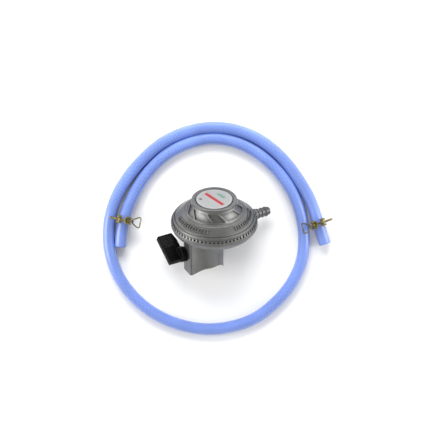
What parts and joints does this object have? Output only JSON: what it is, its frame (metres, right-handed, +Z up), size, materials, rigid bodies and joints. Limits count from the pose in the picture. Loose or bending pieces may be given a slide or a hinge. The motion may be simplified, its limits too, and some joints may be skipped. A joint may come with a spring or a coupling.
{
  "type": "clip-on gas regulator with hose and hose clamps",
  "caption": "Clip-on low-pressure gas regulator with a rotary lever and hose barb, lying inside a loop of braided hose that has a wire clamp near each end.",
  "frame": {"origin": "middle of the regulator’s footprint on the surface that it, the hose and the clamps lie on", "axes": "+Z up from the surface, +X towards the side the outlet barb points to, +Y towards the side the bonnet faces"},
  "size_m": [0.2519, 0.234, 0.0822],
  "materials": {
    "cast_alloy": "satin die-cast grey alloy",
    "label_foil": "satin foil label, pale",
    "brass": "machined brass",
    "steel": "bright plated steel",
    "black_rubber": "matt nitrile rubber",
    "black_plastic": "fine-textured moulded black nylon",
    "blue_pvc": "soft translucent blue PVC with a fine diagonal braid inside",
    "yellow_zinc": "yellow-passivated zinc plate on steel wire"
  },
  "bodies": {
    "root": {"lower_body": "cast_alloy", "bonnet_cover": "cast_alloy", "outlet_barb": "cast_alloy", "label_disc": "label_foil", "adjuster_plug": "brass", "inlet_jet": "brass", "ball_cage": "brass", "spindle_bush": "brass", "main_spring": "steel", "seat_lever_pin": "steel", "plunger_spring": "steel", "diaphragm": "black_rubber", "outlet_seal": "black_rubber", "hose_tube": "blue_pvc", "clamp_a_wire_band": "yellow_zinc", "clamp_a_plain_barrel": "yellow_zinc", "clamp_b_wire_band": "yellow_zinc", "clamp_b_plain_barrel": "yellow_zinc"},
    "lever": {"control_lever": "black_plastic", "lever_spindle": "steel", "spindle_clip": "steel"},
    "plunger": {"plunger_stem": "brass", "lock_sleeve": "steel", "inlet_seal": "black_rubber"},
    "diaphragm_stack": {"spring_plate": "steel", "diaphragm_washer": "steel", "diaphragm_stem": "brass"},
    "rocker": {"seat_lever": "steel", "valve_pad": "black_rubber"},
    "ball_1": {"lock_ball_1": "steel"},
    "ball_2": {"lock_ball_2": "steel"},
    "ball_3": {"lock_ball_3": "steel"},
    "ball_4": {"lock_ball_4": "steel"},
    "clamp_a_screw": {"clamp_a_thumb_screw": "yellow_zinc", "clamp_a_wire_handle": "yellow_zinc"},
    "clamp_a_nut": {"clamp_a_threaded_barrel": "yellow_zinc"},
    "clamp_b_screw": {"clamp_b_thumb_screw": "yellow_zinc", "clamp_b_wire_handle": "yellow_zinc"},
    "clamp_b_nut": {"clamp_b_threaded_barrel": "yellow_zinc"}
  },
  "joints": [
    {"name": "lever_turn", "type": "hinge", "parent": "root", "child": "lever", "pos_m": [-0.03168, -0.02389, 0.03112], "axis": [-0.8829, -0.2557, 0.3937], "range_deg": [0, 90]},
    {"name": "plunger_push", "type": "slide", "parent": "root", "child": "plunger", "axis": [0, -0.8387, -0.5446], "range_m": [0, 0.002], "deforming": ["plunger_spring"]},
    {"name": "ball_1_in", "type": "slide", "parent": "root", "child": "ball_1", "axis": [-0.2924, -0.5208, 0.802], "range_m": [0, 0.0005]},
    {"name": "ball_2_in", "type": "slide", "parent": "root", "child": "ball_2", "axis": [0.9563, -0.1592, 0.2452], "range_m": [0, 0.0005]},
    {"name": "ball_3_in", "type": "slide", "parent": "root", "child": "ball_3", "axis": [0.2924, 0.5208, -0.802], "range_m": [0, 0.0005]},
    {"name": "ball_4_in", "type": "slide", "parent": "root", "child": "ball_4", "axis": [-0.9563, 0.1592, -0.2452], "range_m": [0, 0.0005]},
    {"name": "diaphragm_lift", "type": "slide", "parent": "root", "child": "diaphragm_stack", "axis": [0, 0.8387, 0.5446], "range_m": [0, 0.0015], "stiffness_N_per_m": 400, "springref_m": -0.002, "deforming": ["main_spring", "diaphragm"]},
    {"name": "seat_rocker_tilt", "type": "hinge", "parent": "root", "child": "rocker", "pos_m": [-0.00714, 0.00275, 0.04097], "axis": [0.4695, -0.4809, 0.7405], "range_deg": [0, 9.6]},
    {"name": "clamp_a_turn", "type": "hinge", "parent": "root", "child": "clamp_a_screw", "pos_m": [-0.09826, 0.01254, 0.02], "axis": [-0.983, 0.1836, 0], "range_deg": [0, 900]},
    {"name": "clamp_a_close", "type": "slide", "parent": "root", "child": "clamp_a_nut", "axis": [0.983, -0.1836, 0], "range_m": [0, 0.002], "deforming": ["clamp_a_wire_band"]},
    {"name": "clamp_b_turn", "type": "hinge", "parent": "root", "child": "clamp_b_screw", "pos_m": [0.11468, 0.00846, 0.02], "axis": [0.9479, 0.3186, 0], "range_deg": [0, 900]},
    {"name": "clamp_b_close", "type": "slide", "parent": "root", "child": "clamp_b_nut", "axis": [-0.9479, -0.3186, 0], "range_m": [0, 0.002], "deforming": ["clamp_b_wire_band"]}
  ],
  "couplings": [
    {"joint": "plunger_push", "follows": "lever_turn", "m_per_rad": 0.001267},
    {"joint": "ball_1_in", "follows": "lever_turn", "m_per_rad": 0.0003119},
    {"joint": "ball_2_in", "follows": "lever_turn", "m_per_rad": 0.0003119},
    {"joint": "ball_3_in", "follows": "lever_turn", "m_per_rad": 0.0003119},
    {"joint": "ball_4_in", "follows": "lever_turn", "m_per_rad": 0.0003119},
    {"joint": "seat_rocker_tilt", "follows": "diaphragm_lift", "rad_per_m": 111},
    {"joint": "clamp_a_close", "follows": "clamp_a_turn", "m_per_rad": 0.0001273},
    {"joint": "clamp_b_close", "follows": "clamp_b_turn", "m_per_rad": 0.0001273}
  ]
}
